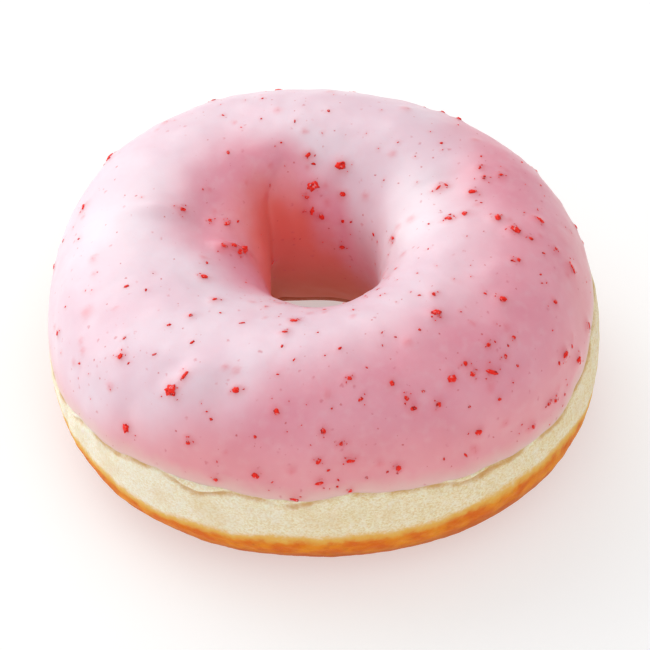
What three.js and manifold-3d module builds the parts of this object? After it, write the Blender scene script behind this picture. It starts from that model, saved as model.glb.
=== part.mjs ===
// A ring doughnut: a fried yeast dough ring, strawberry icing over its top and down its hole,
// and the larger pieces of freeze-dried strawberry that sit in the icing.
// Millimetres, +Z up. The ring rests on z = 0 and its hole runs along the Z axis.

import * as THREE from "three";
import { ParametricGeometry } from "three/addons/geometries/ParametricGeometry.js";
import { mergeVertices } from "three/addons/utils/BufferGeometryUtils.js";
import Module from "manifold-3d";

// ---- Driving dimensions -------------------------------------------------------------------

const RING_RADIUS = 47.3; // axis to the widest part of the side
const WIDEST_LEVEL = 13.4; // height of that widest part
const CROWN_RADIUS = 29; // axis to the ring's highest line
const CROWN_LEVEL = 39.8;
const THROAT_RADIUS = 9.2; // the hole at its narrowest
const THROAT_LEVEL = 24.5;
const BASE_INNER = 23; // the flat fried base lies between these two radii
const BASE_OUTER = 34;

const ICING_THICK = 1.5;
const ICING_BEAD = 1.6; // length over which the icing's edge rounds off
const BEDDING_GAP = 0.3; // clear space between neighbouring solids
const STEP_BELOW_ICING = 3.5; // length over which the bare side eases back under the icing
const ICING_END_IN_HOLE = 87; // where the icing stops inside the hole, along the section

const BERRY_THICK_SHARE = 0.6; // a berry piece's thickness as a share of its width
const BERRY_THICKEST = 1;
const BERRY_STANDS_PROUD = 0.1; // the middle of a piece above the icing's surface
const BERRY_UNEVENNESS = 0.12; // how far a piece's corners are drawn in or out

const AROUND = 60; // facets round the ring
const DOUGH_STEPS = [19, 4, 3, 2, 5, 5]; // stations in each stretch of the dough's section
const ICING_STEPS = 24; // stations across the icing, on each side of it
const ICING_GATHER = 1.6; // draws those stations towards both edges

// How far each quarter of the section keeps its starting and its final direction.
const SIDE_FULLNESS = [0.66, 0.62];
const HOLE_FULLNESS = [0.6, 0.6];
const INNER_FOOT_FULLNESS = [0.5, 0.5];
const OUTER_FOOT_FULLNESS = [0.6, 0.6];

// The hand-shaped ring isn't quite round or level. Each row is one wave round the ring:
// how many times it repeats, its cosine share and its sine share.
const OUTLINE_WAVES = [
  [1, -0.019, 0.001],
  [2, 0.026, -0.024],
  [3, 0.017, 0.003],
  [4, -0.013, 0.001],
];
const OUTLINE_FROM_RADIUS = 12; // the outline's waves grow from here outwards
const HEIGHT_WAVES = [
  [1, 0.044, -0.006],
  [2, -0.017, -0.01],
];
const HEIGHT_FULL_LEVEL = 15; // the height's waves fade out below this level

// The waves of the icing's end in the hole: repeats, height in millimetres, and phase.
const ICING_END_WAVES = [
  [3, 0.5, 0],
  [7, 0.3, 1],
];

// The hole is a rounded, uneven polygon: each wall's direction in degrees and distance from the axis.
const HOLE_WALLS = [
  [0, 9.8],
  [45, 12.6],
  [93, 13],
  [180, 9.1],
  [225, 9.6],
  [270, 11],
  [315, 9.9],
];
const HOLE_CORNER_SHARPNESS = 7;
// The fold in the hole's wall: its azimuth in degrees at the throat and at the rim, and its shape.
const HOLE_FOLD = { atThroat: 124, atRim: 110, rimRadius: 18, width: 2.6, softness: 2.5, depth: 1.4 };
const HOLE_REACH = 27; // radius at which the hole's own outline has faded out

// The icing's outer edge: azimuth in degrees, and how far above the widest line it stops.
const ICING_EDGE = [
  [0, 12],
  [22, 9],
  [45, 7.5],
  [68, 10],
  [90, 8],
  [112, 6],
  [135, 8.5],
  [158, 5],
  [180, 1.5],
  [197, 2.8],
  [216, 6.2],
  [236, 8.2],
  [252, 7.8],
  [266, 7],
  [277, 8.4],
  [291, 7.3],
  [311, 6.8],
  [325, 6.8],
  [335, 8.8],
  [348, 11.6],
];

// Berry pieces: azimuth, distance along the section, length, width, and turn of the length.
const BERRY_PIECES = [
  [233, 23.5, 2.3, 2, 20],
  [234.5, 26.5, 2, 0.7, 70],
  [225, 13, 1.8, 1.4, 100],
  [248, 26.7, 1.4, 1.1, 10],
  [259, 23.8, 1.3, 1, 110],
  [255.7, 12.4, 1.5, 1.1, 130],
  [269.3, 11.3, 1.5, 0.8, 10],
  [269, 15.4, 1.3, 0.8, 40],
  [205, 43.3, 1.3, 1, 60],
  [178, 52, 2.4, 1.5, 150],
  [161, 48.7, 1.4, 0.9, 140],
  [165, 40.6, 1.4, 0.8, 100],
  [163, 21.7, 1.7, 0.8, 15],
  [216, 23.3, 1.3, 0.9, 80],
  [257.5, 43, 1.4, 0.8, 15],
  [96, 54, 2.3, 1.8, 30],
  [97.5, 58.6, 1.9, 1.1, 80],
  [80, 49.8, 2.2, 1.5, 20],
  [77, 55.4, 1.2, 0.9, 0],
  [6.5, 41.3, 1.2, 1, 0],
  [5.6, 44.2, 1.5, 0.8, 60],
  [17, 38.7, 1.6, 0.9, 70],
  [2, 35.9, 1.6, 1.2, 0],
  [356.5, 33.2, 2.1, 1.3, 45],
  [3, 28.7, 1.8, 0.8, 50],
  [352.5, 22.3, 2.4, 0.6, 45],
  [328.5, 31, 1.5, 1.2, 120],
  [302, 24.9, 1.8, 1.3, 160],
  [311.7, 23.1, 2.6, 0.9, 140],
  [310, 36.5, 1.9, 1.2, 150],
  [304.3, 14.8, 1.4, 1.1, 0],
  [291, 22.2, 1.4, 0.8, 0],
  [286, 12.6, 1.2, 1, 90],
  [331.5, 17, 1.5, 1, 15],
  [335.5, 13.4, 1.6, 1, 10],
  [275.8, 15.2, 1.6, 0.7, 0],
  [30, 15, 1.9, 1.2, 35],
  [52, 24, 1.5, 1, 110],
  [76, 14.5, 2.1, 1.3, 60],
  [101, 21, 1.6, 0.9, 20],
  [121, 12, 1.4, 1.1, 75],
  [143, 17.5, 2, 1, 130],
];

const COLOURS = {
  dough: { color: 0xe0a552, roughness: 0.75, metalness: 0 },
  icing: { color: 0xd98a98, roughness: 0.25, metalness: 0 },
  berry: { color: 0xb81c14, roughness: 0.55, metalness: 0 },
};

// ---- The ring's shape ---------------------------------------------------------------------

const { degToRad, euclideanModulo, smoothstep } = THREE.MathUtils;

// A quarter of the section: a curve that leaves and arrives square to its two end tangents.
function quarter(path, from, to, startsUpright, fullness) {
  const [first, last] = fullness;
  const [dx, dy] = [to[0] - from[0], to[1] - from[1]];
  const start = startsUpright
    ? [from[0], from[1] + first * dy]
    : [from[0] + first * dx, from[1]];
  const end = startsUpright
    ? [to[0] - last * dx, to[1]]
    : [to[0], to[1] - last * dy];
  path.bezierCurveTo(...start, ...end, ...to);
}

// The section, from the widest line up over the crown, down the hole and back under the base.
function ringSection() {
  const side = [RING_RADIUS, WIDEST_LEVEL];
  const crown = [CROWN_RADIUS, CROWN_LEVEL];
  const throat = [THROAT_RADIUS, THROAT_LEVEL];
  const innerFoot = [BASE_INNER, 0];
  const outerFoot = [BASE_OUTER, 0];
  const path = new THREE.Path();
  path.moveTo(...side);
  quarter(path, side, crown, true, SIDE_FULLNESS);
  quarter(path, crown, throat, false, HOLE_FULLNESS);
  quarter(path, throat, innerFoot, true, INNER_FOOT_FULLNESS);
  path.lineTo(...outerFoot);
  quarter(path, outerFoot, side, false, OUTER_FOOT_FULLNESS);
  return path;
}

const section = ringSection();
const SECTION_LENGTH = section.getLength();
const [, , INNER_FOOT_ARC, OUTER_FOOT_ARC] = section.getCurveLengths();

function sectionAt(arc) {
  return section.getPoint(euclideanModulo(arc, SECTION_LENGTH) / SECTION_LENGTH);
}

function waves(rows, azimuth) {
  return rows.reduce(
    (sum, [turns, cosShare, sinShare]) =>
      sum + cosShare * Math.cos(turns * azimuth) + sinShare * Math.sin(turns * azimuth),
    1,
  );
}

// The hole's own radius at an azimuth: the nearest of its walls, with the corners rounded.
function holeRadius(azimuth) {
  let sum = 0;
  for (const [facing, distance] of HOLE_WALLS) {
    const reach = Math.cos(azimuth - degToRad(facing)) / distance;
    sum += Math.max(reach, 0) ** HOLE_CORNER_SHARPNESS;
  }
  return sum ** (-1 / HOLE_CORNER_SHARPNESS);
}

// How deep the fold in the hole's wall is. It leans round the hole as it climbs to the rim.
function foldDepth(plainRadius, radius, azimuth) {
  const climb = smoothstep(plainRadius, THROAT_RADIUS, HOLE_FOLD.rimRadius);
  const foldAt = degToRad(THREE.MathUtils.lerp(HOLE_FOLD.atThroat, HOLE_FOLD.atRim, climb));
  const away = (euclideanModulo(azimuth, 2 * Math.PI) - foldAt) * radius;
  const softened = Math.hypot(away, HOLE_FOLD.softness) - HOLE_FOLD.softness;
  return HOLE_FOLD.depth * Math.exp(-softened / HOLE_FOLD.width);
}

// A point of the finished outer surface.
function surface(arc, azimuth) {
  const { x: plainRadius, y: plainHeight } = sectionAt(arc);
  const nearHole = 1 - smoothstep(plainRadius, THROAT_RADIUS, HOLE_REACH);
  const walled = plainRadius + nearHole * (holeRadius(azimuth) - THROAT_RADIUS);
  const holed = walled + nearHole * foldDepth(plainRadius, walled, azimuth);
  const nearRim = smoothstep(holed, OUTLINE_FROM_RADIUS, RING_RADIUS);
  const radius = holed * (1 + nearRim * (waves(OUTLINE_WAVES, azimuth) - 1));
  const offBase = Math.min(plainHeight / HEIGHT_FULL_LEVEL, 1);
  const height = plainHeight * (1 + offBase * (waves(HEIGHT_WAVES, azimuth) - 1));
  return new THREE.Vector3(radius * Math.cos(azimuth), radius * Math.sin(azimuth), height);
}

// Unit directions at a point of the surface: along the section, round the ring, and outwards.
function directions(arc, azimuth) {
  const nudge = 0.05;
  const turn = nudge / RING_RADIUS;
  const along = surface(arc + nudge, azimuth).sub(surface(arc - nudge, azimuth)).normalize();
  const around = surface(arc, azimuth + turn).sub(surface(arc, azimuth - turn)).normalize();
  const outward = new THREE.Vector3().crossVectors(around, along).normalize();
  return { along, around, outward };
}

function below(arc, azimuth, depth) {
  const point = surface(arc, azimuth);
  return depth === 0 ? point : point.addScaledVector(directions(arc, azimuth).outward, -depth);
}

// The icing's outer edge at an azimuth, eased between the rows of ICING_EDGE.
function icingEdge(azimuth) {
  const degrees = euclideanModulo(azimuth, 2 * Math.PI) * THREE.MathUtils.RAD2DEG;
  const next = ICING_EDGE.findIndex(([at]) => at > degrees);
  const after = next < 0 ? [360, ICING_EDGE[0][1]] : ICING_EDGE[next];
  const before = next < 0 ? ICING_EDGE.at(-1) : ICING_EDGE[next - 1];
  return THREE.MathUtils.lerp(before[1], after[1], smoothstep(degrees, before[0], after[0]));
}

function icingEndInHole(azimuth) {
  return ICING_END_WAVES.reduce(
    (end, [turns, height, phase]) => end + height * Math.sin(turns * azimuth + phase),
    ICING_END_IN_HOLE,
  );
}

// How far the dough lies under the finished surface, by the distance inside the icing's edge.
function doughDepth(insideEdge) {
  return (ICING_THICK + BEDDING_GAP) * smoothstep(insideEdge, -STEP_BELOW_ICING, ICING_BEAD);
}

function icingThickness(insideEdge) {
  const short = 1 - Math.min(insideEdge / ICING_BEAD, 1);
  return ICING_THICK * Math.sqrt(1 - short * short);
}

// ---- Solids -------------------------------------------------------------------------------

const WELD = 1e-3; // points closer than this are one

function positionsOnly(geometry) {
  geometry.deleteAttribute("normal");
  geometry.deleteAttribute("uv");
  return mergeVertices(geometry, WELD);
}

// A closed ring of facets; place(share of the loop, azimuth) gives the points of one cross-section.
function closedRing(place, steps) {
  const geometry = new ParametricGeometry(
    (round, share, target) => target.copy(place(share % 1, (round % 1) * 2 * Math.PI)),
    AROUND,
    steps,
  );
  return positionsOnly(geometry);
}

// The dough's stations along the section, closer together where it steps back under the icing.
function doughRing() {
  const margin = ICING_BEAD + 1;
  const total = DOUGH_STEPS.reduce((sum, n) => sum + n, 0);
  return closedRing((loopShare, azimuth) => {
    const edge = icingEdge(azimuth);
    const end = icingEndInHole(azimuth);
    const stops = [
      edge + margin,
      end - margin,
      end + STEP_BELOW_ICING,
      INNER_FOOT_ARC,
      OUTER_FOOT_ARC,
      edge - STEP_BELOW_ICING + SECTION_LENGTH,
      edge + margin + SECTION_LENGTH,
    ];
    let station = Math.round(loopShare * total) % total;
    let part = 0;
    while (station >= DOUGH_STEPS[part]) {
      station -= DOUGH_STEPS[part];
      part += 1;
    }
    const share = station / DOUGH_STEPS[part];
    const arc = THREE.MathUtils.lerp(stops[part], stops[part + 1], share);
    const past = arc > OUTER_FOOT_ARC ? arc - SECTION_LENGTH : arc;
    const insideEdge = Math.min(past - edge, end - past);
    return below(arc, azimuth, doughDepth(insideEdge));
  }, total);
}

// The icing: over the outside from its lower edge to its end in the hole, and back along its underside.
function icingShell() {
  const half = ICING_STEPS;
  return closedRing((share, azimuth) => {
    const edge = icingEdge(azimuth);
    const end = icingEndInHole(azimuth);
    const station = Math.round(share * 2 * half) % (2 * half);
    const outside = station <= half;
    const t = (outside ? station : 2 * half - station) / half;
    const gathered = (nearest) => 0.5 * (2 * nearest) ** ICING_GATHER;
    const spread = t < 0.5 ? gathered(t) : 1 - gathered(1 - t);
    const arc = THREE.MathUtils.lerp(edge, end, spread);
    const insideEdge = Math.min(arc - edge, end - arc);
    const underside = doughDepth(insideEdge) - BEDDING_GAP;
    const thickness = outside ? icingThickness(insideEdge) : 0;
    return below(arc, azimuth, underside - thickness);
  }, 2 * half);
}

const SEED_PHASE = 12.9;
const CORNER_PHASE = 4.7;

// A rough flake with half-sizes along x, y and z; each corner is drawn in or out by its own share.
function flake(halfSizes, seed, unevenness) {
  const geometry = positionsOnly(new THREE.IcosahedronGeometry(1, 0));
  const corners = geometry.getAttribute("position");
  const corner = new THREE.Vector3();
  for (let i = 0; i < corners.count; i += 1) {
    const share = 1 + unevenness * Math.sin(seed * SEED_PHASE + i * CORNER_PHASE);
    corner.fromBufferAttribute(corners, i).multiplyScalar(share).multiply(halfSizes);
    corners.setXYZ(i, ...corner);
  }
  return geometry;
}

function berryHalfSizes([, , length, width]) {
  const thickness = Math.min(width * BERRY_THICK_SHARE, BERRY_THICKEST);
  return new THREE.Vector3(length / 2, width / 2, thickness / 2);
}

// Where a berry piece sits: its length turned in the surface, its thickness outwards.
function berryPlace([azimuthDegrees, arc, , , turn]) {
  const azimuth = degToRad(azimuthDegrees);
  const { around, outward } = directions(arc, azimuth);
  const lengthways = around.applyAxisAngle(outward, degToRad(turn));
  const across = new THREE.Vector3().crossVectors(outward, lengthways);
  const place = new THREE.Matrix4().makeBasis(lengthways, across, outward);
  return place.setPosition(below(arc, azimuth, -BERRY_STANDS_PROUD));
}

const wasm = await Module();
wasm.setup();

function solid(geometry) {
  return new wasm.Manifold(
    new wasm.Mesh({
      numProp: 3,
      vertProperties: new Float32Array(geometry.getAttribute("position").array),
      triVerts: new Uint32Array(geometry.index.array),
    }),
  );
}

// The icing with a pocket for each berry piece.
function pocketedIcing() {
  const clearance = new THREE.Vector3(1, 1, 1).multiplyScalar(BEDDING_GAP);
  const reach = 1.25; // a pocket's facets stay clear of the piece's corners
  let icing = solid(icingShell());
  for (const row of BERRY_PIECES) {
    const roomy = berryHalfSizes(row).multiplyScalar(reach).add(clearance);
    icing = icing.subtract(solid(flake(roomy, 0, 0).applyMatrix4(berryPlace(row))));
  }
  const { vertProperties, triVerts } = icing.getMesh();
  const geometry = new THREE.BufferGeometry();
  geometry.setAttribute("position", new THREE.BufferAttribute(vertProperties, 3));
  geometry.setIndex(new THREE.BufferAttribute(triVerts, 1));
  return geometry;
}

// ---- The doughnut -------------------------------------------------------------------------

function addPiece(group, name, geometry, finish) {
  const mesh = new THREE.Mesh(geometry, new THREE.MeshStandardMaterial(finish));
  mesh.name = name;
  group.add(mesh);
  return mesh;
}

const doughnut = new THREE.Group();
addPiece(doughnut, "fried_dough_ring", doughRing(), COLOURS.dough);
addPiece(doughnut, "strawberry_icing", pocketedIcing(), COLOURS.icing);
BERRY_PIECES.forEach((row, index) => {
  const name = `berry_piece_${String(index + 1).padStart(2, "0")}`;
  const geometry = flake(berryHalfSizes(row), index + 1, BERRY_UNEVENNESS);
  const piece = addPiece(doughnut, name, geometry, COLOURS.berry);
  berryPlace(row).decompose(piece.position, piece.quaternion, piece.scale);
});

export default doughnut;
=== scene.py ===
from bisect import bisect_right
from functools import lru_cache
from math import atan2, cos, degrees, exp, hypot, radians, sin, sqrt, tau
from random import Random

import bmesh
import bpy
from mathutils import Matrix, Vector, noise
from mathutils.geometry import interpolate_bezier
from mathutils.kdtree import KDTree


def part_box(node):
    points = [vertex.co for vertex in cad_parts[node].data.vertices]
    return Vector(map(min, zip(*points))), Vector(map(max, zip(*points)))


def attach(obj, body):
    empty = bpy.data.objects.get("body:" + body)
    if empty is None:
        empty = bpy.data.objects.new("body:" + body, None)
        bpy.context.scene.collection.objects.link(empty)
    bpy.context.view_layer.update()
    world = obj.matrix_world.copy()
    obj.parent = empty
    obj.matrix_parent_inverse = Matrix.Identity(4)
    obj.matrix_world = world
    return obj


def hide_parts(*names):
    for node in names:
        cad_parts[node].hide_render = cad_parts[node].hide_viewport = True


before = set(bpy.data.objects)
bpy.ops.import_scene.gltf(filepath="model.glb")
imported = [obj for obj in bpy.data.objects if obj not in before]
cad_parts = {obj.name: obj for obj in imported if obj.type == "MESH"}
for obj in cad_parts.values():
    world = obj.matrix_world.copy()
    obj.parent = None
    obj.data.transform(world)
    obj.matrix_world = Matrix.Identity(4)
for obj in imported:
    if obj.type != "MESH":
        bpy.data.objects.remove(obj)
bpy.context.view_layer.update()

# An iced ring doughnut. Shapes are worked out in millimetres and written to the meshes in metres.
MM = 0.001

# ---- Driving dimensions, in millimetres ----------------------------------------------------

RING_RADIUS = 47.3  # axis to the widest part of the side
WIDEST_LEVEL = 13.4
CROWN_RADIUS = 29  # axis to the ring's highest line
CROWN_LEVEL = 39.8
THROAT_RADIUS = 9.2  # the hole at its narrowest
THROAT_LEVEL = 24.5
BASE_INNER = 23  # the flat fried base lies between these two radii
BASE_OUTER = 34
OUTLINE_FROM_RADIUS = 12  # the outline's waves fade away from the side inwards to here
HEIGHT_FULL_LEVEL = 15  # the height's waves have their full share from this level up

# How full each quarter of the section is at its start and at its end, from 0 to 1.
SIDE_FULLNESS = (0.66, 0.62)
HOLE_FULLNESS = (0.6, 0.6)
INNER_FOOT_FULLNESS = (0.5, 0.5)
OUTER_FOOT_FULLNESS = (0.6, 0.6)

ICING_THICK = 1.5
ICING_BEAD = 0.9  # length over which the icing's edge rounds off
ICING_THINS = 6  # length over which the icing grows to its full thickness
BEDDING = 0.25  # how far the icing's underside sinks into the dough
STEP_BELOW_ICING = 1.5  # length over which the dough steps down to meet the icing
ICING_END_IN_HOLE = 87  # distance along the section

# Distances along the section from the widest line: the side ends, and the hole begins.
SIDE_UP_TO = 40
HOLE_FROM = 60

# Waves round the ring: turns, cosine share, sine share.
OUTLINE_WAVES = [
    (1, -0.019, 0.001),
    (2, 0.026, -0.024),
    (3, 0.017, 0.003),
    (4, -0.013, 0.001),
]
HEIGHT_WAVES = [
    (1, 0.044, -0.006),
    (2, -0.017, -0.01),
]

# The hole's walls: the direction each faces, in degrees, and its distance from the axis.
HOLE_WALLS = [(0, 9.8), (45, 12.6), (93, 13), (180, 9.1), (225, 9.6), (270, 11), (315, 9.9)]
HOLE_CORNER_SHARPNESS = 7
HOLE_REACH = 27

# The fold in the hole's wall leans round the hole as it climbs from the throat to the rim.
FOLD_AT_THROAT = radians(124)
FOLD_AT_RIM = radians(110)
FOLD_RIM_RADIUS = 18
FOLD_WIDTH = 1.9
FOLD_SOFTNESS = 0.6
FOLD_DEPTH = 1.5

# Where the hole's warm tint starts: azimuth in degrees, and how much further down than elsewhere. The
# tint is partly thin icing over fried crust and partly painted bounce light and shade, and it starts
# further down on walls that face the lamps.
WARMTH_AND_BOUNCE_START = [
    (0, 30),
    (35, 25),
    (58, 22),
    (88, 10),
    (110, 0),
    (126, -4),
    (145, -4),
    (175, -1),
    (205, 5),
    (240, 14),
    (300, 24),
]

# Where the icing turns from pink at the side to pale over the crown, partly a paler, thicker icing
# and partly painted light that reaches down the side facing the lamps: azimuth in degrees, distance
# along the section.
MILKY_AND_LIT_START = [
    (0, 39),
    (24, 41),
    (45, 31),
    (60, 23),
    (90, 16),
    (120, 13),
    (150, 7),
    (180, 0),
    (210, 5),
    (228, 14),
    (246, 23),
    (260, 31),
    (275, 35),
    (300, 37),
]

MILKY_AND_LIT_HALF_LENGTH = 9  # the turn to pale, partly painted light, takes this far either side of its start
CLEARS_DOWN_HOLE = (36, 48)  # past the warm tint's start, the paleness and painted light fade between these

# Lumps of the top, round the ring: azimuth in degrees, distance along the section, height,
# and half lengths along and round. A dip has a negative height.
LUMPS = [
    (166, 37, 1.1, 5, 2.2),
    (160, 45, -0.9, 4, 6.5),
    (165, 44, -0.5, 2.6, 2.6),
    (179, 47.8, 0.6, 1.5, 1.5),
    (181, 50, 0.9, 2.4, 2.3),
    (237, 27, 0.7, 4, 3),
    (246, 25, -0.6, 4, 3.5),
    (225, 14, -0.5, 6, 2.4),
    (211, 19, 0.5, 5, 3),
    (286, 33, -0.5, 4, 6),
    (318, 33, -0.6, 4.5, 6),
    (12, 41, -0.6, 7, 4),
    (350, 45, 0.5, 6, 5),
    (29, 41, -0.8, 4, 3.2),
    (338, 39, -0.5, 4, 3),
    (28, 27, 0.5, 6, 6),
    (60, 38, 0.5, 6, 7),
    (95, 38, 0.5, 5, 9),
    (120, 33, -0.5, 7, 6),
    (70, 20, 0.5, 7, 8),
    (260, 20, 0.4, 6, 8),
    (300, 20, -0.35, 6, 6),
    (335, 20, 0.4, 7, 7),
    (185, 22, 0.45, 7, 6),
    (195, 44, 0.45, 6, 4),
]

LUMP_CHECKED_TO = 300  # square millimetres of squared distance, past which a lump is left out
LUMP_ROUNDING = 400  # square millimetres; keeps a lump to its own side of the ring
LUMP_ENDS = 5  # spread past which a lump adds nothing
LUMP_SHARE = 0.9  # how much of its stated height a lump has

# Where a painted sheen whitens the icing, on slopes that face the lamps, laid out as the lumps are.
PAINTED_SHEEN = [
    (12, 53, 1, 7, 8),
    (35, 47, 0.5, 5, 8),
    (172, 28, 0.7, 9, 16),
]

# The icing's outer edge: azimuth in degrees, and how far above the widest line it stops.
ICING_EDGE = [
    (0, 12),
    (22, 9),
    (45, 7.5),
    (68, 10),
    (90, 8),
    (112, 6),
    (135, 8.5),
    (158, 5),
    (180, 1.5),
    (197, 2.8),
    (216, 6.2),
    (236, 8.2),
    (252, 7.8),
    (266, 7),
    (277, 8.4),
    (291, 7.3),
    (311, 6.8),
    (325, 6.8),
    (335, 8.8),
    (348, 11.6),
]

# Where the golden fry colour stops on the side: azimuth, distance above the widest line.
GOLDEN_EDGE = [
    (0, -2.5),
    (40, -1),
    (80, -2.5),
    (130, -0.5),
    (170, -2),
    (200, -2.5),
    (217, -1.3),
    (235, -2.4),
    (262, -1.9),
    (290, -1.6),
    (312, 0.2),
    (328, 0.2),
    (345, -1.5),
]

# Pockets in the dough just below the icing: azimuth in degrees, half width in degrees, and
# how far below the icing the pocket's lip droops.
POCKETS = [
    (243.5, 5.5, 1.7),
    (207, 4, 1),
    (262, 4, 0.8),
    (301, 6, 0.9),
    (20, 7, 1.2),
    (75, 6, 1),
    (128, 7, 1.3),
    (172, 6, 1),
]

# How much painted light whitens the bare dough, from 0 to 1, by azimuth in degrees: most on the side
# facing the lamps.
LAMP_LIT_PALENESS = [
    (0, 0),
    (60, 0.2),
    (110, 0.6),
    (150, 0.5),
    (190, 0.9),
    (225, 0.9),
    (250, 0.5),
    (275, 0.15),
    (320, 0),
]

# Small puckers in the bare dough, laid out as the lumps are.
PUCKERS = [
    (221, 5.6, -0.5, 0.6, 2.4),
    (214, 3.2, -0.5, 0.9, 2),
    (203, 0.5, -0.5, 2, 1),
    (257, 4.9, -0.5, 0.6, 2.6),
    (270, 3.6, -0.4, 1, 2.4),
    (296, 4.6, 0.4, 0.9, 2.6),
    (320, 4, -0.4, 1, 2.2),
    (10, 7, 0.4, 1.4, 3),
    (60, 3, -0.5, 2, 4),
    (100, 3, 0.4, 1.6, 3),
    (150, 2, -0.5, 2, 3),
]

# Fineness and small steps.
AROUND = 480  # facets round the ring
QUARTER_POINTS = 200  # points in each quarter of the section
EVEN_STEPS = 1600  # steps in the section once its points are evenly spaced
NUDGE = 0.1  # a small step along the section, in millimetres
AROUND_NUDGE = 0.01  # a small step round the ring, in radians
TOUCHING = 1e-6  # corners nearer than this, in metres, are joined


# ---- The ring's shape ----------------------------------------------------------------------


def smooth_step(value, low, high):
    share = min(max((value - low) / (high - low), 0), 1)
    return share * share * (3 - 2 * share)


def blend(first, second, share):
    return first + (second - first) * share


def quarter(start, end, starts_upright, fullness):
    """A quarter of the section, square to its tangents at both ends."""
    dx, dy = end[0] - start[0], end[1] - start[1]
    first, last = fullness
    if starts_upright:
        leave = (start[0], start[1] + first * dy)
        arrive = (end[0] - last * dx, end[1])
    else:
        leave = (start[0] + first * dx, start[1])
        arrive = (end[0], end[1] - last * dy)
    corners = [Vector(corner) for corner in (start, leave, arrive, end)]
    return interpolate_bezier(*corners, QUARTER_POINTS)


def ring_section():
    """The section as points with their distance along it, and where the flat base begins and ends."""
    side = (RING_RADIUS, WIDEST_LEVEL)
    crown = (CROWN_RADIUS, CROWN_LEVEL)
    throat = (THROAT_RADIUS, THROAT_LEVEL)
    inner_foot = (BASE_INNER, 0)
    outer_foot = (BASE_OUTER, 0)
    points = quarter(side, crown, True, SIDE_FULLNESS)
    points += quarter(crown, throat, False, HOLE_FULLNESS)[1:]
    points += quarter(throat, inner_foot, True, INNER_FOOT_FULLNESS)[1:]
    feet = [len(points) - 1, len(points)]
    points += [Vector(outer_foot)]
    points += quarter(outer_foot, side, False, OUTER_FOOT_FULLNESS)[1:]
    arcs = [0.0]
    for before, after in zip(points, points[1:]):
        arcs.append(arcs[-1] + (after - before).length)
    return points, arcs, arcs[feet[0]], arcs[feet[1]]


SECTION, SECTION_ARCS, INNER_FOOT_ARC, OUTER_FOOT_ARC = ring_section()
SECTION_LENGTH = SECTION_ARCS[-1]
EVEN_STEP = SECTION_LENGTH / EVEN_STEPS


def even_section():
    """The section again, as points an even distance apart."""
    points = []
    for step in range(EVEN_STEPS + 2):
        arc = step * EVEN_STEP % SECTION_LENGTH
        after = min(bisect_right(SECTION_ARCS, arc), len(SECTION) - 1)
        span = SECTION_ARCS[after] - SECTION_ARCS[after - 1]
        share = (arc - SECTION_ARCS[after - 1]) / span
        points.append(tuple(SECTION[after - 1].lerp(SECTION[after], share)))
    return points


EVEN_SECTION = even_section()


def section_at(arc):
    """The section's radius and height at a distance along it."""
    steps = arc % SECTION_LENGTH / EVEN_STEP
    before = int(steps)
    share = steps - before
    radius, height = EVEN_SECTION[before]
    next_radius, next_height = EVEN_SECTION[before + 1]
    return radius + (next_radius - radius) * share, height + (next_height - height) * share


def waves(rows, azimuth):
    return 1 + sum(c * cos(turns * azimuth) + s * sin(turns * azimuth) for turns, c, s in rows)


def hole_radius(azimuth):
    """The hole's own radius: the nearest of its walls, with the corners rounded."""
    total = 0
    for facing, distance in HOLE_WALLS:
        reach = cos(azimuth - radians(facing)) / distance
        total += max(reach, 0) ** HOLE_CORNER_SHARPNESS
    return total ** (-1 / HOLE_CORNER_SHARPNESS)


def fold_depth(plain_radius, radius, azimuth):
    climb = smooth_step(plain_radius, THROAT_RADIUS, FOLD_RIM_RADIUS)
    away = (azimuth % tau - blend(FOLD_AT_THROAT, FOLD_AT_RIM, climb)) * radius
    softened = hypot(away, FOLD_SOFTNESS) - FOLD_SOFTNESS
    return FOLD_DEPTH * exp(-softened / FOLD_WIDTH)


@lru_cache(maxsize=None)
def ring_at(azimuth):
    """What the ring's outline, height and hole come to at one azimuth, with its direction."""
    return (
        waves(OUTLINE_WAVES, azimuth) - 1,
        waves(HEIGHT_WAVES, azimuth) - 1,
        hole_radius(azimuth) - THROAT_RADIUS,
        cos(azimuth),
        sin(azimuth),
    )


def surface(arc, azimuth):
    """A point of the finished outer surface, before any relief."""
    outline, rise, widening, across, deep = ring_at(azimuth)
    plain_radius, plain_height = section_at(arc)
    near_hole = 1 - smooth_step(plain_radius, THROAT_RADIUS, HOLE_REACH)
    walled = plain_radius + near_hole * widening
    holed = walled + near_hole * fold_depth(plain_radius, walled, azimuth) if near_hole else walled
    radius = holed * (1 + smooth_step(holed, OUTLINE_FROM_RADIUS, RING_RADIUS) * outline)
    height = plain_height * (1 + min(plain_height / HEIGHT_FULL_LEVEL, 1) * rise)
    return Vector((radius * across, radius * deep, height))


def directions(arc, azimuth):
    """Unit directions along the section and round the ring."""
    point = surface(arc, azimuth)
    along = surface(arc + NUDGE, azimuth) - point
    around = surface(arc, azimuth + AROUND_NUDGE) - point
    return along.normalized(), around.normalized()


def outwards(arc, azimuth, point):
    """The outward direction at a point of the surface."""
    along = surface(arc + NUDGE, azimuth) - point
    around = surface(arc, azimuth + AROUND_NUDGE) - point
    return around.cross(along).normalized()


def eased(rows, azimuth):
    """A value given by rows of (degrees, value), eased between them all the way round."""
    at = degrees(azimuth) % 360
    closed = rows + [(360, rows[0][1])]
    after = next(index for index, row in enumerate(closed) if row[0] > at)
    (low, first), (high, second) = closed[after - 1], closed[after]
    return blend(first, second, smooth_step(at, low, high))


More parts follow.
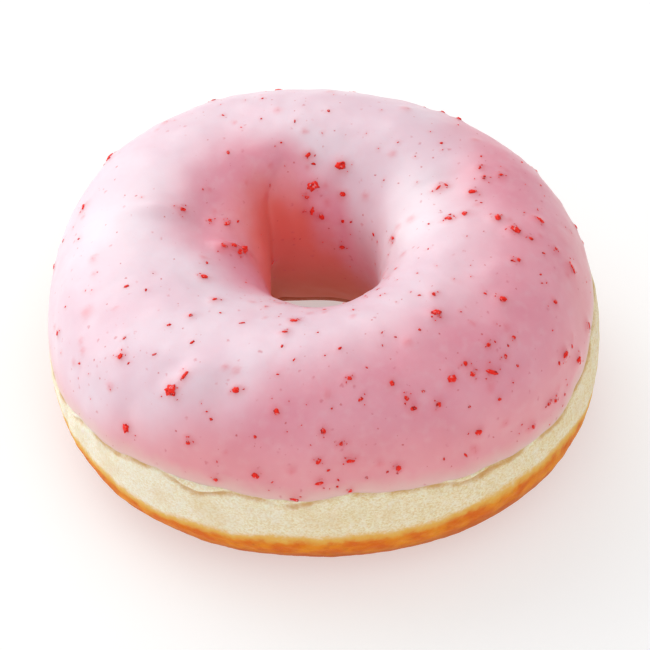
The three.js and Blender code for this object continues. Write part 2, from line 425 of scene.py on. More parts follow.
@lru_cache(maxsize=None)
def icing_edge(azimuth):
    across, deep = cos(azimuth), sin(azimuth)
    ripple = 0.5 * noise.noise(Vector((across * 7, deep * 7, 3)))
    nibble = 0.2 * noise.noise(Vector((across * 21, deep * 21, 5)))
    return eased(ICING_EDGE, azimuth) + ripple + nibble


@lru_cache(maxsize=None)
def icing_end_in_hole(azimuth):
    return ICING_END_IN_HOLE + 0.5 * sin(3 * azimuth) + 0.3 * sin(7 * azimuth + 1)


@lru_cache(maxsize=None)
def golden_edge(azimuth):
    return eased(GOLDEN_EDGE, azimuth)


@lru_cache(maxsize=None)
def warmth_and_bounce_start(azimuth):
    return eased(WARMTH_AND_BOUNCE_START, azimuth)


@lru_cache(maxsize=None)
def milky_and_lit_start(azimuth):
    return eased(MILKY_AND_LIT_START, azimuth)


def milky_and_lit_share(arc, azimuth):
    """How pale the icing is, partly its own milky colour and partly painted light on the side facing
    the lamps: all over the crown, less at the side and down the hole.
    """
    start = milky_and_lit_start(azimuth)
    turned = smooth_step(arc, start - MILKY_AND_LIT_HALF_LENGTH, start + MILKY_AND_LIT_HALF_LENGTH)
    return turned * (1 - smooth_step(arc - warmth_and_bounce_start(azimuth), *CLEARS_DOWN_HOLE))


def inside_icing(arc, azimuth):
    """How far a place lies inside the icing's nearer edge; below nought is outside it."""
    past = arc - SECTION_LENGTH if arc > OUTER_FOOT_ARC else arc
    return min(past - icing_edge(azimuth), icing_end_in_hole(azimuth) - past)


def dough_depth(inside_edge):
    """How far the dough lies under the finished surface."""
    return ICING_THICK * smooth_step(inside_edge, -STEP_BELOW_ICING, ICING_THINS)


def icing_thickness(inside_edge):
    short = 1 - min(max(inside_edge, 0) / ICING_BEAD, 1)
    return (dough_depth(inside_edge) + BEDDING) * sqrt(1 - short * short)


# ---- Strawberry pieces ---------------------------------------------------------------------

# Middling chips: azimuth in degrees, distance along the section, length, width.
CHIPS = [
    (183, 48.4, 1.5, 0.55),
    (180.6, 49.8, 1.3, 0.9),
    (183, 51, 1.4, 1.1),
    (240.5, 16, 0.9, 0.8),
    (264, 7.9, 1.8, 0.7),
    (247.5, 10.3, 0.9, 0.7),
    (270, 20.6, 1.2, 0.9),
    (163, 45.7, 0.9, 0.7),
    (220, 41.8, 1, 0.6),
    (221.5, 36.2, 0.8, 0.6),
    (256, 39.3, 1, 0.5),
    (91, 59.7, 1.2, 0.8),
    (100.5, 56, 0.9, 0.6),
    (97.5, 47.5, 1.1, 0.7),
    (74.5, 66, 1.1, 0.9),
    (75, 60.3, 0.7, 0.6),
    (125, 70, 1.4, 0.6),
    (27, 43.6, 1.3, 0.5),
    (26.5, 42, 0.9, 0.5),
    (354.6, 30.5, 0.9, 0.7),
    (21.5, 32.5, 0.9, 0.6),
    (22.5, 35.3, 0.5, 0.5),
    (26.8, 35, 0.9, 0.4),
    (344.5, 31.9, 0.9, 0.7),
    (338.5, 23.8, 1, 0.7),
    (316, 40, 0.9, 0.6),
    (307.3, 24.2, 1, 0.9),
    (307, 26.2, 0.9, 0.7),
    (315, 27, 0.9, 0.7),
    (317, 24, 0.8, 0.6),
    (287.5, 27, 1, 0.9),
    (277, 29, 0.8, 0.7),
    (322, 25.5, 0.8, 0.6),
    (345, 14, 1.4, 0.5),
    (355, 25.8, 0.7, 0.6),
    (17, 55.5, 1, 0.6),
    (297, 21.7, 1, 0.9),
    (290, 24, 1, 0.7),
    (275.7, 9.3, 0.9, 0.6),
    (274, 18.2, 0.8, 0.6),
    (317.5, 10.3, 1, 0.6),
    (325, 11.5, 1.1, 0.6),
    (323, 12, 0.9, 0.6),
    (311, 18.5, 0.7, 0.6),
    (146, 20, 1.1, 0.7),
    (118, 24, 0.9, 0.7),
    (101, 17, 1.2, 0.8),
    (82, 22, 0.8, 0.7),
    (71, 15, 1, 0.6),
    (57, 24, 0.9, 0.8),
    (41, 14, 1.1, 0.7),
    (30, 19, 0.8, 0.6),
    (12, 17, 1, 0.8),
    (129, 13, 0.9, 0.6),
    (172, 12, 1, 0.6),
    (193, 13, 0.9, 0.7),
]

# Chips under the icing: azimuth in degrees, distance along the section, half length.
BURIED_CHIPS = [
    (296, 33.5, 0.6),
    (62, 54.5, 0.5),
    (64, 31, 0.7),
    (271, 26.5, 0.5),
    (311, 14, 0.6),
    (198, 22.4, 1),
    (205, 18, 0.5),
    (282, 14, 0.55),
    (303, 11.5, 0.6),
    (310, 21, 0.5),
    (246, 30, 0.5),
    (332, 17, 0.6),
    (40, 30, 0.5),
    (88, 28, 0.6),
    (132, 25, 0.6),
]

FLECKS = 250
FLECK_ARCS = (6, 80)  # distances along the section between which the flecks lie
FLECK_CLEARANCE = 0.9  # the least distance from a fleck to the icing's edge
CRUMB_CLEARANCE = 0.6
BURIED_FLECKS = 90
BURIED_ARCS = (10, 70)
THICKEST_AT = radians(-40)  # the azimuth where the flecks lie thickest

BERRY_NODES = sorted(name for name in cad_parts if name.startswith("berry_piece"))
chance = Random(11)


ARC_STEP = 0.25  # how closely a piece's place along the section is looked for
ARC_STEPS = 320


def large_spots():
    """Each large berry piece as a place on the ring with its half length, in millimetres."""
    spots = []
    for name in BERRY_NODES:
        low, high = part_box(name)
        middle = (Vector(low) + Vector(high)) / (2 * MM)
        half = max(high[axis] - low[axis] for axis in range(3)) / (2 * MM)
        azimuth = atan2(middle.y, middle.x) % tau
        arcs = [step * ARC_STEP for step in range(ARC_STEPS)]
        arc = min(arcs, key=lambda at: (surface(at, azimuth) - middle).length)
        spots.append((azimuth, arc, half))
    return spots


LARGE_SPOTS = large_spots()
CHIP_SPOTS = [(radians(azimuth), arc, length / 2) for azimuth, arc, length, _ in CHIPS]


def fleck_spots():
    """Small flecks all over, thicker towards one side, and crumbs close by the larger pieces."""
    spots = []
    while len(spots) < FLECKS:
        azimuth = chance.random() * tau
        arc = chance.uniform(*FLECK_ARCS)
        radius = surface(arc, azimuth).to_2d().length
        likely = (0.62 + 0.38 * cos(azimuth - THICKEST_AT)) * radius / 50
        if chance.random() > likely or inside_icing(arc, azimuth) < FLECK_CLEARANCE:
            continue
        spots.append((azimuth, arc, 0.13 + 0.3 * chance.random() ** 2.2))
    for azimuth, arc, half in LARGE_SPOTS + CHIP_SPOTS:
        for _ in range(chance.randint(0, 3)):
            turn = chance.random() * tau
            away = half * chance.uniform(1, 2) + 0.15
            radius = surface(arc, azimuth).to_2d().length
            place = (azimuth + away * cos(turn) / radius, arc + away * sin(turn))
            if inside_icing(place[1], place[0]) > CRUMB_CLEARANCE:
                spots.append((*place, chance.uniform(0.1, 0.22)))
    return spots


FLECK_SPOTS = fleck_spots()


def buried_spots():
    """Fruit that shows only as a soft stain and a slight rise."""
    spots = [(radians(azimuth), arc, half) for azimuth, arc, half in BURIED_CHIPS]
    for _ in range(BURIED_FLECKS):
        spots.append((chance.random() * tau, chance.uniform(*BURIED_ARCS), chance.uniform(0.2, 0.55)))
    return spots


BURIED_SPOTS = buried_spots()


def spot_tree(spots):
    tree = KDTree(len(spots))
    for index, (azimuth, arc, _) in enumerate(spots):
        tree.insert(surface(arc, azimuth), index)
    tree.balance()
    return tree


PIECE_SPOTS = LARGE_SPOTS + CHIP_SPOTS
PIECE_TREE = spot_tree(PIECE_SPOTS)
FLECK_TREE = spot_tree(FLECK_SPOTS)
BURIED_TREE = spot_tree(BURIED_SPOTS)


# How far away each kind of fruit still lifts or stains the icing.
PIECE_REACH = 4.5
FLECK_REACH = 1.8
BURIED_REACH = 3


def near(tree, spots, point, reach):
    """The half length of each spot within reach, with how far away it is."""
    return [(spots[index][2], away) for _, index, away in tree.find_range(point, reach)]


HIGHEST_SWELLING = 0.75  # in millimetres


def swelling(point):
    """How much the icing rises over the fruit in it."""
    rise = 0
    for half, away in near(PIECE_TREE, PIECE_SPOTS, point, PIECE_REACH):
        rise += 0.56 * half * exp(-((away / (half * 1.5 + 0.4)) ** 2))
    for half, away in near(FLECK_TREE, FLECK_SPOTS, point, FLECK_REACH):
        rise += 0.2 * half * exp(-((away / (half + 0.45)) ** 2))
    for half, away in near(BURIED_TREE, BURIED_SPOTS, point, BURIED_REACH):
        rise += 0.32 * half * exp(-((away / (half + 0.6)) ** 2))
    return min(rise, HIGHEST_SWELLING)


def stain(point):
    """How much berry juice has bled into the icing at a place."""
    ragged = point + 0.35 * noise.noise_vector(point / 0.7)
    juice = 0
    for half, away in near(PIECE_TREE, PIECE_SPOTS, ragged, PIECE_REACH):
        juice += 0.75 * exp(-((away / (half * 0.9 + 0.45)) ** 2)) * min(half / 0.5, 1)
    for half, away in near(FLECK_TREE, FLECK_SPOTS, ragged, FLECK_REACH):
        juice += 0.35 * exp(-((away / (half * 0.8 + 0.35)) ** 2))
    for half, away in near(BURIED_TREE, BURIED_SPOTS, ragged, BURIED_REACH):
        juice += 0.6 * exp(-((away / (half + 0.2)) ** 2))
    return min(juice, 1)


# ---- The icing's relief --------------------------------------------------------------------


def lump_places(lumps):
    """Lumps as points on the surface, with their directions there."""
    places = []
    for azimuth, arc, height, along_reach, around_reach in lumps:
        turn = radians(azimuth)
        along, around = directions(arc, turn)
        places.append((surface(arc, turn), along / along_reach, around / around_reach, height))
    return places


TOP_LUMPS = lump_places(LUMPS)
DOUGH_PUCKERS = lump_places(PUCKERS)
PAINTED_SHEEN_PLACES = lump_places(PAINTED_SHEEN)


def lumps_rise(places, point):
    rise = 0
    for middle, along, around, height in places:
        off = point - middle
        if off.length_squared > LUMP_CHECKED_TO:
            continue
        away = off.dot(along) ** 2 + off.dot(around) ** 2 + off.length_squared / LUMP_ROUNDING
        if away < LUMP_ENDS:
            rise += LUMP_SHARE * height * exp(-away)
    return rise


def icing_relief(point):
    """The icing's own flow over the dough's lumps, and faint ripples."""
    rise = 0.22 * noise.noise(point / 13 + Vector((5, 1, 2)))
    rise += 0.17 * noise.noise(point / 4.2 + Vector((2, 7, 1)))
    rise += 0.04 * noise.noise(point / 1.8 + Vector((8, 3, 1)))
    return rise + lumps_rise(TOP_LUMPS, point)


RELIEF_FADES = 3  # the icing's relief dies away this close to its edge


def icing_lift(arc, azimuth, point):
    """The icing's top above the plain surface."""
    settled = smooth_step(inside_icing(arc, azimuth), 0, RELIEF_FADES)
    return settled * (icing_relief(point) + swelling(point))


def icing_top(arc, azimuth):
    """A point on the icing's finished top, with the outward direction there."""
    point = surface(arc, azimuth)
    outward = outwards(arc, azimuth, point)
    return point + outward * icing_lift(arc, azimuth, point), outward


# ---- Making pieces -------------------------------------------------------------------------


def finished_piece(name, form, finish, slot, *stands_for):
    """Turns a bmesh into a smooth-shaded piece that rides on the ring's one body."""
    bmesh.ops.recalc_face_normals(form, faces=form.faces)
    mesh = bpy.data.meshes.new(name)
    form.to_mesh(mesh)
    form.free()
    for face in mesh.polygons:
        face.use_smooth = True
    mesh.materials.append(finish)
    piece = bpy.data.objects.new(name, mesh)
    bpy.context.scene.collection.objects.link(piece)
    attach(piece, "root")
    if stands_for:
        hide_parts(*stands_for)


def spun_ring(section_points):
    """A closed section spun round the hole's axis; the station layer numbers its points."""
    form = bmesh.new()
    station = form.verts.layers.float.new("station")
    loop = []
    for number, (radius, height) in enumerate(section_points):
        corner = form.verts.new((radius, 0, height))
        corner[station] = number
        loop.append(corner)
    for first, second in zip(loop, loop[1:] + loop[:1]):
        form.edges.new((first, second))
    bmesh.ops.spin(
        form,
        geom=form.verts[:] + form.edges[:],
        cent=(0, 0, 0),
        axis=(0, 0, 1),
        dvec=(0, 0, 0),
        angle=tau,
        steps=AROUND,
        use_merge=True,
        use_duplicate=False,
    )
    return form, station


def azimuth_of(corner):
    step = round(atan2(corner.co.y, corner.co.x) / tau * AROUND) % AROUND
    return step * tau / AROUND


# ---- Dough ---------------------------------------------------------------------------------

# Stations in each part of the section, between the stops below.
DOUGH_STEPS = [24, 12, 26, 12, 56, 28]


def dough_stops(azimuth):
    """Where the dough's stations are gathered along the section."""
    edge = icing_edge(azimuth)
    end = icing_end_in_hole(azimuth)
    margin = ICING_BEAD + 1
    return [
        edge + margin,
        end - margin,
        end + STEP_BELOW_ICING,
        INNER_FOOT_ARC,
        OUTER_FOOT_ARC,
        edge - STEP_BELOW_ICING + SECTION_LENGTH,
        edge + margin + SECTION_LENGTH,
    ]


def station_arc(stops, steps, station):
    part = 0
    while station >= steps[part]:
        station -= steps[part]
        part += 1
    return blend(stops[part], stops[part + 1], station / steps[part])


WRINKLE_SQUASH = 2.2  # wrinkles lie level, so they are this much shorter up the side
RELIEF_LEVELS = (0.4, 4)  # heights between which the relief grows from none to full


def dough_relief(point):
    """The fried dough's own unevenness: soft dents, stretch wrinkles and fine blisters."""
    upright = Vector((point.x, point.y, point.z * WRINKLE_SQUASH))
    rise = 0.2 * noise.noise(point / 9)
    rise += 0.12 * noise.noise(upright / 2.6 + Vector((4, 4, 4)))
    rise += 0.06 * noise.fractal(point / 1.3, 0.8, 2.1, 3)
    rise += lumps_rise(DOUGH_PUCKERS, point)
    return smooth_step(point.z, *RELIEF_LEVELS) * rise


def pocket_droop(azimuth):
    """How far below the icing's edge the lip of a pocket hangs."""
    turn = degrees(azimuth)
    return sum(droop * exp(-((turn - middle) / half) ** 2) for middle, half, droop in POCKETS)


SHALLOWEST_DROOP = 0.05  # a lip that droops less than this has no groove
GROOVE_DEPTH = 0.4
GROOVE_HALF = 0.45
LIP_RISE = 0.35
LIP_ABOVE = 0.8  # the lip swells this far above the groove
LIP_HALF = 0.5


def pocket_depth(droop, off_lip):
    """How deep a pocket's groove is, less how far its lip swells."""
    if droop <= SHALLOWEST_DROOP:
        return 0
    groove = GROOVE_DEPTH * exp(-((off_lip / GROOVE_HALF) ** 2))
    lip = LIP_RISE * exp(-(((off_lip + LIP_ABOVE) / LIP_HALF) ** 2))
    return min(droop, 1) * (groove - lip)


# Distances along the section where the dough turns darker in the hole, partly its fried crust and
# partly painted shade.
HOLE_FRY_LINE = 78
HOLE_STARTS = (60, 70)
HOLE_ENDS = (88, 96)
FAR_FROM_LIP = 5  # stands for no line of oil and painted shade


def dough_ring(finish):
    numbers = range(sum(DOUGH_STEPS))
    plain = [section_at(station_arc(dough_stops(0), DOUGH_STEPS, number)) for number in numbers]
    form, station = spun_ring(plain)
    fry = form.verts.layers.float.new("above_fry_line")
    from_lip = form.verts.layers.float.new("off_lip")
    in_hole = form.verts.layers.float.new("in_hole")
    pale = form.verts.layers.float.new("pale")
    for corner in form.verts:
        azimuth = azimuth_of(corner)
        arc = station_arc(dough_stops(azimuth), DOUGH_STEPS, round(corner[station]))
        point = surface(arc, azimuth)
        inside_edge = inside_icing(arc, azimuth)
        past = arc - SECTION_LENGTH if arc > OUTER_FOOT_ARC else arc
        on_side = past < SIDE_UP_TO
        droop = pocket_droop(azimuth) if on_side else 0
        off_lip = -inside_edge - droop
        depth = dough_depth(inside_edge) - dough_relief(point) + pocket_depth(droop, off_lip)
        if INNER_FOOT_ARC <= arc <= OUTER_FOOT_ARC:
            depth = 0
        corner[fry] = past - golden_edge(azimuth) if past < HOLE_FROM else HOLE_FRY_LINE - past
        corner[pale] = eased(LAMP_LIT_PALENESS, azimuth)
        corner[from_lip] = abs(off_lip) if on_side else FAR_FROM_LIP
        corner[in_hole] = smooth_step(past, *HOLE_STARTS) * (1 - smooth_step(past, *HOLE_ENDS))
        place = point if depth == 0 else point - outwards(arc, azimuth, point) * depth
        corner.co = place * MM
    finished_piece("dough_ring", form, finish, "dough", "fried_dough_ring")


# ---- Icing ---------------------------------------------------------------------------------

TOP_STEPS = 150
UNDER_STEPS = 24
GATHER = 1.5  # draws the stations towards both edges
APART = 0.01  # keeps the underside's first stations off the top's, in millimetres
EDGE_FELT_TO = 20  # the finish measures the distance from the edge up to here


def icing_station(azimuth, station):
    """The section distance of one of the icing's stations, and whether it is on the top."""
    on_top = station <= TOP_STEPS
    share = station / TOP_STEPS if on_top else 1 - (station - TOP_STEPS) / UNDER_STEPS
    if share < 0.5:
        spread = 0.5 * (2 * share) ** GATHER
    else:
        spread = 1 - 0.5 * (2 - 2 * share) ** GATHER
    return blend(icing_edge(azimuth), icing_end_in_hole(azimuth), spread), on_top


def icing_coat(finish):
    plain = []
    for number in range(TOP_STEPS + UNDER_STEPS):
        arc, on_top = icing_station(0, number)
        radius, height = section_at(arc)
        plain.append((radius if on_top else radius + APART, height))
    form, station = spun_ring(plain)
    juice = form.verts.layers.float.new("juice")
    from_edge = form.verts.layers.float.new("from_edge")
    over_crown = form.verts.layers.float.new("over_crown")
    milky_and_lit = form.verts.layers.float.new("milky_and_lit")
    down_hole = form.verts.layers.float.new("down_hole")
    painted_sheen = form.verts.layers.float.new("painted_sheen")
    for corner in form.verts:
        azimuth = azimuth_of(corner)
        arc, on_top = icing_station(azimuth, round(corner[station]))
        point = surface(arc, azimuth)
        inside_edge = inside_icing(arc, azimuth)
        depth = dough_depth(inside_edge) + BEDDING
        if on_top:
            depth = depth - icing_thickness(inside_edge) - icing_lift(arc, azimuth, point)
            corner[juice] = stain(point)
        corner[from_edge] = min(arc - icing_edge(azimuth), EDGE_FELT_TO)
        corner[over_crown] = arc
        corner[milky_and_lit] = milky_and_lit_share(arc, azimuth)
        corner[painted_sheen] = lumps_rise(PAINTED_SHEEN_PLACES, point)
        corner[down_hole] = arc - warmth_and_bounce_start(azimuth)
        corner.co = (point - outwards(arc, azimuth, point) * depth) * MM
    finished_piece("icing_coat", form, finish, "icing", "strawberry_icing")


# ---- Berry pieces --------------------------------------------------------------------------


FLAKE_SINKS = 0.16  # how far a flake sits down in the risen icing


def berry_piece(name, spot, finish, seed):
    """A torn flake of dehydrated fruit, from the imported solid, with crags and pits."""
    azimuth, arc, _ = spot
    place, outward = icing_top(arc, azimuth)
    lift = (place - surface(arc, azimuth)).dot(outward) - FLAKE_SINKS
    form = bmesh.new()
    form.from_mesh(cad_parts[name].data)
    bmesh.ops.remove_doubles(form, verts=form.verts, dist=TOUCHING)
    bmesh.ops.subdivide_edges(form, edges=form.edges, cuts=3, use_grid_fill=True)
    middle = sum((corner.co for corner in form.verts), Vector()) / len(form.verts)
    reach = max((corner.co - middle).length for corner in form.verts)
    for corner in form.verts:
        off = corner.co - middle
        place = off / reach
        crags = noise.noise(place * 2.3 + Vector((seed * 3.1, 0, 0)))
        pits = noise.noise(place * 6 + Vector((0, seed * 1.7, 0)))
        corner.co = middle + off * (1.02 + 0.3 * crags + 0.14 * pits) + outward * lift * MM
    finished_piece(name.replace("piece", "flake"), form, finish, "berry", name)


def crumbs(name, spots, rounds, finish):
    """Many rough crumbs, half sunk in the icing, joined as one piece."""
    form = bmesh.new()
    for azimuth, arc, length, width in spots:
        place, outward = icing_top(arc, azimuth)
        along, around = directions(arc, azimuth)
        place = place - outward * 0.08 * width
        stand = Matrix((around, along, outward)).transposed().to_4x4()
        spin = Matrix.Rotation(chance.random() * tau, 4, "Z")
        size = Matrix.Diagonal((length / 2, width / 2, 0.22 * width, 1))
        made = bmesh.ops.create_icosphere(form, subdivisions=rounds, radius=1)["verts"]
        drift = Vector((chance.random(), chance.random(), chance.random())) * 50
        for corner in made:
            corner.co *= 1 + 0.5 * noise.noise(corner.co * 1.7 + drift)
        matrix = Matrix.Scale(MM, 4) @ Matrix.Translation(place) @ stand @ spin @ size
        bmesh.ops.transform(form, matrix=matrix, verts=made)
    finished_piece(name, form, finish, "berry")


def fleck_sizes():
    """The small flecks with a length and a width each, in millimetres."""
    rows = []
    for azimuth, arc, half in FLECK_SPOTS:
        length = 2 * half * chance.uniform(1, 1.5)
        width = 2 * half * chance.uniform(0.6, 0.95)
        rows.append((azimuth, arc, length, width))
    return rows


# ---- Finishes ------------------------------------------------------------------------------


class Value:
    """A number or colour inside a finish. Sums written on numbers add Math nodes."""

    def __init__(self, finish, socket):
        self.finish = finish
        self.socket = socket

    def _sum(self, operation, first, second):
        return self.finish.node("ShaderNodeMath", {"operation": operation}, {0: first, 1: second})

    def __add__(self, other):
        return self._sum("ADD", self, other)

    def __radd__(self, other):
        return self._sum("ADD", other, self)

    def __sub__(self, other):
        return self._sum("SUBTRACT", self, other)

    def __rsub__(self, other):
        return self._sum("SUBTRACT", other, self)

    def __mul__(self, other):
        return self._sum("MULTIPLY", self, other)


def tint(red, green, blue):
    """A colour as the eye sees it, 0 to 255, in linear light."""

    def linear(part):
        part /= 255
        return part / 12.92 if part <= 0.04045 else ((part + 0.055) / 1.055) ** 2.4

    return (linear(red), linear(green), linear(blue), 1)


class Finish:
    """One material, with the nodes that feed its shader."""

    def __init__(self, name, plain):
        self.material = bpy.data.materials.new(name)
        self.material.use_nodes = True
        self.tree = self.material.node_tree
        self.shader = self.tree.nodes["Principled BSDF"]
        for socket, number in plain.items():
            self.shader.inputs[socket].default_value = number

    def node(self, kind, settings=None, inputs=None, output=0):
        made = self.tree.nodes.new(kind)
        for name, setting in (settings or {}).items():
            setattr(made, name, setting)
        for name, given in (inputs or {}).items():
            if isinstance(given, Value):
                self.tree.links.new(given.socket, made.inputs[name])
            else:
                made.inputs[name].default_value = given
        return Value(self, made.outputs[output])

    def place(self):
        return self.node("ShaderNodeTexCoord", output="Object")

    def stretched(self, scale):
        return self.node("ShaderNodeMapping", inputs={"Vector": self.place(), "Scale": scale})

    def grain(self, size, detail=2, roughness=0.5, place=None):
        """Soft noise whose features are about that many millimetres across, 0 to 1."""
        inputs = {
            "Vector": place or self.place(),
            "Scale": 1 / (size * MM),
            "Detail": detail,
            "Roughness": roughness,
        }
        return self.node("ShaderNodeTexNoise", inputs=inputs)

    def warped(self, size, amount):
        """Object coordinates shaken about, so that round marks turn ragged; in millimetres."""
        shake = {"Vector": self.place(), "Scale": 1 / (size * MM), "Detail": 2}
        colour = self.node("ShaderNodeTexNoise", inputs=shake, output="Color")
        reach = {0: colour, 1: (-0.5, -0.5, -0.5)}
        centred = self.node("ShaderNodeVectorMath", {"operation": "ADD"}, reach)
        scaled = {0: centred, "Scale": amount * MM}
        offset = self.node("ShaderNodeVectorMath", {"operation": "SCALE"}, scaled)
        return self.node("ShaderNodeVectorMath", {"operation": "ADD"}, {0: self.place(), 1: offset})

    def specks(self, size, share, radius, softness):
        """Ragged dots in a share of the cells that many millimetres across, in parts of a cell."""
        cell = {"Vector": self.warped(size / 3, size * 0.5), "Scale": 1 / (size * MM)}
        away = self.node("ShaderNodeTexVoronoi", inputs=cell, output="Distance")
        pick = self.node("ShaderNodeTexVoronoi", inputs=cell, output="Color")
        red = self.node("ShaderNodeSeparateColor", inputs={0: pick})
        green = self.node("ShaderNodeSeparateColor", inputs={0: pick}, output=1)
        chosen = self.ramp(red, 1 - share, 1 - share + 0.05)
        edge = green * radius + radius * 0.4
        return chosen * (1 - self.ramp(away - edge, -softness, softness))

    def ramp(self, value, low, high):
        """Eases from 0 at the low value to 1 at the high one."""
        inputs = {"Value": value, 1: low, 2: high}
        return self.node("ShaderNodeMapRange", {"interpolation_type": "SMOOTHSTEP"}, inputs)

    def mix(self, share, first, second):
        inputs = {0: share, 6: first, 7: second}
        return self.node("ShaderNodeMix", {"data_type": "RGBA"}, inputs, 2)

    def layer(self, name):
        return self.node("ShaderNodeAttribute", {"attribute_name": name}, output="Fac")

    def bump(self, height, distance, strength=1, below=None):
        inputs = {"Height": height, "Distance": distance * MM, "Strength": strength}
        if below:
            inputs["Normal"] = below
        return self.node("ShaderNodeBump", inputs=inputs)

    def feed(self, given):
        for name, value in given.items():
            self.tree.links.new(value.socket, self.shader.inputs[name])
        return self.material


def icing_finish():
    plain = {
        "Subsurface Weight": 0.35,
        "Subsurface Scale": 0.0015,
        "Subsurface Radius": (1.0, 0.7, 0.7),
        "Specular IOR Level": 0.4,
        "Coat Roughness": 0.36,
    }
    f = Finish("icing", plain)
    cloudy = f.grain(9, 3)
    side = f.mix(f.ramp(cloudy, 0.3, 0.7), tint(238, 160, 177), tint(232, 148, 167))
    # The pale crown colour is partly paler, thicker icing and partly painted light where the icing
    # faces the lamps.
    crown = f.mix(f.ramp(cloudy, 0.3, 0.7), tint(240, 215, 226), tint(236, 203, 216))
    colour = f.mix(f.layer("milky_and_lit") + (f.grain(12, 2) - 0.5) * 0.4, side, crown)
    colour = f.mix(f.ramp(f.grain(2.2, 3), 0.45, 0.75) * 0.2, colour, tint(238, 200, 210))
    # Painted sheen: near-white icing where it faces the lamps.
    colour = f.mix(f.layer("painted_sheen") * 0.8, colour, tint(248, 236, 242))
    # Warm tint down the hole: partly thin icing over fried crust, partly painted bounce light and
    # shade.
    down = f.layer("down_hole") + (f.grain(5, 2) - 0.5) * 6
    colour = f.mix(f.ramp(down, 47, 62) * 0.85, colour, tint(238, 104, 84))
    # Browner deep in the hole: partly fried crust under thin icing, partly painted shade.
    colour = f.mix(f.ramp(f.layer("over_crown"), 66, 84) * 0.9, colour, tint(196, 88, 44))
    edge = f.layer("from_edge") + (f.grain(3, 2) - 0.5) * 2
    low = (1 - f.ramp(edge, 3, 17)) * (1 - f.layer("milky_and_lit"))
    colour = f.mix(low * 0.45, colour, tint(238, 152, 146))
    colour = f.mix((1 - f.ramp(edge, 0, 4)) * 0.7, colour, tint(236, 200, 186))
    bleed = f.layer("juice")
    colour = f.mix(bleed * 0.7, colour, tint(228, 84, 96))
    faint = f.specks(1.7, 0.3, 0.12, 0.12)
    colour = f.mix(faint * 0.5, colour, tint(212, 80, 98))
    dust = f.specks(1, 0.14, 0.14, 0.08)
    colour = f.mix(dust * 0.7, colour, tint(206, 60, 64))
    open_air = 1 - f.ramp(f.layer("over_crown"), 54, 66)
    roughness = 0.5 + f.grain(3, 2) * 0.1 - bleed * 0.24 - open_air * 0.14
    skin = f.bump(f.grain(1.6, 3), 0.025)
    coat = open_air * 0.45
    return f.feed(
        {"Base Color": colour, "Roughness": roughness, "Coat Weight": coat, "Normal": skin}
    )


def dough_finish():
    plain = {
        "Subsurface Weight": 0.3,
        "Subsurface Scale": 0.0014,
        "Subsurface Radius": (1.0, 0.6, 0.3),
        "Specular IOR Level": 0.12,
    }
    f = Finish("fried_dough", plain)
    rise = f.layer("above_fry_line")
    blotch = f.grain(3.4, 3)
    fine = f.grain(0.7, 4, 0.6)
    fibre = f.grain(0.4, 4, 0.65, f.stretched((1, 1, 1.3)))
    curd = f.grain(1.3, 3, 0.6)
    line = rise + (blotch - 0.5) * 2.4 + (fine - 0.5) * 1.4
    # Painted light: the crumb turns whiter on the side facing the lamps.
    yellow = f.mix(f.ramp(fibre, 0.36, 0.64), tint(232, 205, 148), tint(250, 238, 206))
    lamp_lit_white = f.mix(f.ramp(fibre, 0.36, 0.64), tint(244, 228, 194), tint(255, 250, 234))
    crumb = f.mix(f.layer("pale"), yellow, lamp_lit_white)
    crumb = f.mix(f.ramp(curd, 0.42, 0.66) * 0.45, crumb, tint(250, 242, 224))
    crumb = f.mix(f.ramp(f.grain(5, 2), 0.45, 0.7) * 0.3, crumb, tint(230, 202, 150))
    crust = f.mix(f.ramp(blotch, 0.3, 0.7), tint(224, 104, 4), tint(236, 144, 20))
    crust = f.mix(f.ramp(f.grain(1.4, 4, 0.6), 0.5, 0.8) * 0.45, crust, tint(190, 84, 6))
    crust = f.mix((1 - f.ramp(line, -7, -3)) * 0.8, crust, tint(190, 88, 12))
    # Darker dough deep in the hole: partly fried crust, partly painted shade.
    crust = f.mix(f.ramp(f.layer("in_hole"), 0.2, 0.8), crust, tint(170, 78, 40))
    warm = f.mix(f.ramp(line, 0, 1.8), tint(236, 184, 90), crumb)
    colour = f.mix(f.ramp(line, -1.7, 0.3), crust, warm)
    # Line below the icing: partly oil soaked into the dough, partly painted shade under the icing's
    # edge and along the pockets' grooves.
    ragged = (f.grain(2.2, 3) - 0.5) * 1.2 - f.ramp(f.grain(7, 2), 0.5, 0.66) * 0.4
    oil_and_shade = (1 - f.ramp(f.layer("off_lip") + ragged, -0.1, 0.9)) * f.ramp(f.grain(5, 2), 0.3, 0.6)
    colour = f.mix(oil_and_shade * 0.7, colour, tint(206, 142, 50))
    roughness = 0.62 + fine * 0.2 - f.ramp(line, 0, -2) * 0.16
    relief = f.bump(fibre, 0.12, 0.6, f.bump(curd, 0.25, 0.6))
    return f.feed({"Base Color": colour, "Roughness": roughness, "Normal": relief})


def berry_finish():
    plain = {
        "Specular IOR Level": 0.25,
        "Subsurface Weight": 0.6,
        "Subsurface Scale": 0.0005,
        "Subsurface Radius": (1.0, 0.3, 0.25),
    }
    f = Finish("dried_berry", plain)
    patch = f.grain(0.7, 3)
    colour = f.mix(f.ramp(patch, 0.3, 0.46), tint(176, 10, 8), tint(255, 42, 26))
    film = f.ramp(f.grain(0.45, 2), 0.56, 0.68)
    colour = f.mix(film * 0.7, colour, tint(244, 160, 166))
    roughness = 0.34 + patch * 0.3
    skin = f.bump(f.grain(0.25, 3), 0.06)
    return f.feed({"Base Color": colour, "Roughness": roughness, "Normal": skin})


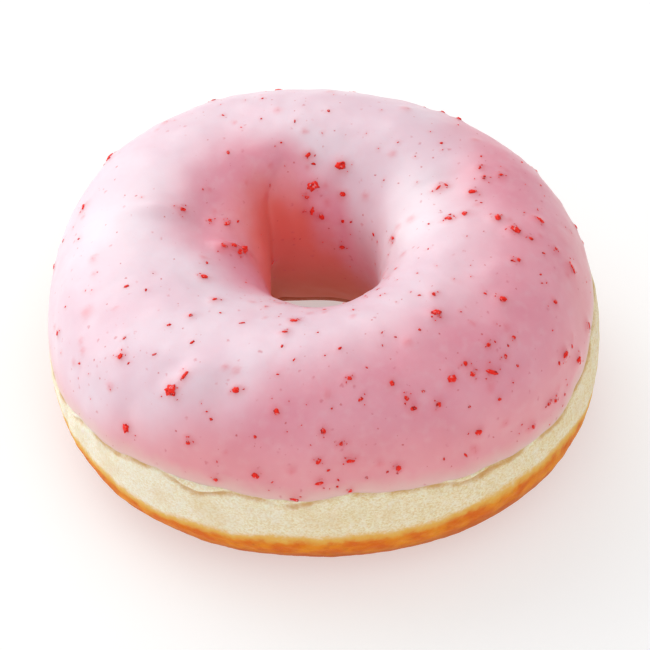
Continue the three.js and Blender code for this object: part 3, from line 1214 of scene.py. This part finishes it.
def floor_finish():
    plain = {
        "Roughness": 0.9,
        "Specular IOR Level": 0.2,
        "Emission Strength": 0.45,
        "Emission Color": (1, 1, 1, 1),
    }
    f = Finish("pale_floor", plain)
    paper = f.mix(f.grain(60, 2), (0.59, 0.59, 0.59, 1), (0.61, 0.61, 0.61, 1))
    return f.feed({"Base Color": paper})


# ---- The set -------------------------------------------------------------------------------


def floor():
    form = bmesh.new()
    bmesh.ops.create_circle(form, cap_ends=True, segments=96, radius=3)
    mesh = bpy.data.meshes.new("floor")
    form.to_mesh(mesh)
    form.free()
    mesh.materials.append(floor_finish())
    ground = bpy.data.objects.new("floor", mesh)
    bpy.context.scene.collection.objects.link(ground)


def aimed(thing, place, target):
    thing.location = place
    thing.rotation_euler = (Vector(target) - Vector(place)).to_track_quat("-Z", "Y").to_euler()
    bpy.context.scene.collection.objects.link(thing)


def soft_light(name, place, width, height, power):
    lamp = bpy.data.lights.new(name, "AREA")
    lamp.shape = "RECTANGLE"
    lamp.size = width
    lamp.size_y = height
    lamp.energy = power
    aimed(bpy.data.objects.new(name, lamp), place, (0, 0, 0.02))


def studio():
    scene = bpy.context.scene
    scene.view_settings.view_transform = "Standard"
    world = bpy.data.worlds.new("studio")
    world.use_nodes = True
    backdrop = world.node_tree.nodes["Background"]
    backdrop.inputs["Color"].default_value = (1, 1, 1, 1)
    backdrop.inputs["Strength"].default_value = 0.54
    scene.world = world
    soft_light("window", (-0.66, 0.5, 0.46), 0.9, 0.9, 2.6)
    soft_light("low_window", (-0.92, 0.3, 0.22), 1.2, 0.4, 1.8)
    soft_light("overhead", (-0.33, 0.57, 0.66), 0.8, 0.8, 2.3)
    soft_light("fill", (0.1, -0.55, 0.75), 1.2, 1.2, 2.1)


# The camera, in metres and degrees.
CAMERA_DISTANCE = 0.56
CAMERA_ELEVATION = 46
FRAME_WIDTH = 0.1132  # what the camera takes in at the ring's distance


def camera():
    lens = bpy.data.cameras.new("camera")
    lens.sensor_width = 36
    lens.lens = lens.sensor_width * CAMERA_DISTANCE / FRAME_WIDTH
    lens.clip_end = 10
    target = Vector((0.0003, 0, 0.016))
    tilt = radians(CAMERA_ELEVATION)
    place = target + CAMERA_DISTANCE * Vector((0, -cos(tilt), sin(tilt)))
    eye = bpy.data.objects.new("camera", lens)
    aimed(eye, place, target)
    bpy.context.scene.camera = eye


# ---- Everything together -------------------------------------------------------------------

camera()
floor()
studio()
dough_ring(dough_finish())
icing_coat(icing_finish())
dried_berry = berry_finish()
for number, (node_name, spot) in enumerate(zip(BERRY_NODES, LARGE_SPOTS)):
    berry_piece(node_name, spot, dried_berry, number)
crumbs("berry_chips", [(radians(row[0]), *row[1:]) for row in CHIPS], 2, dried_berry)
crumbs("berry_flecks", fleck_sizes(), 1, dried_berry)
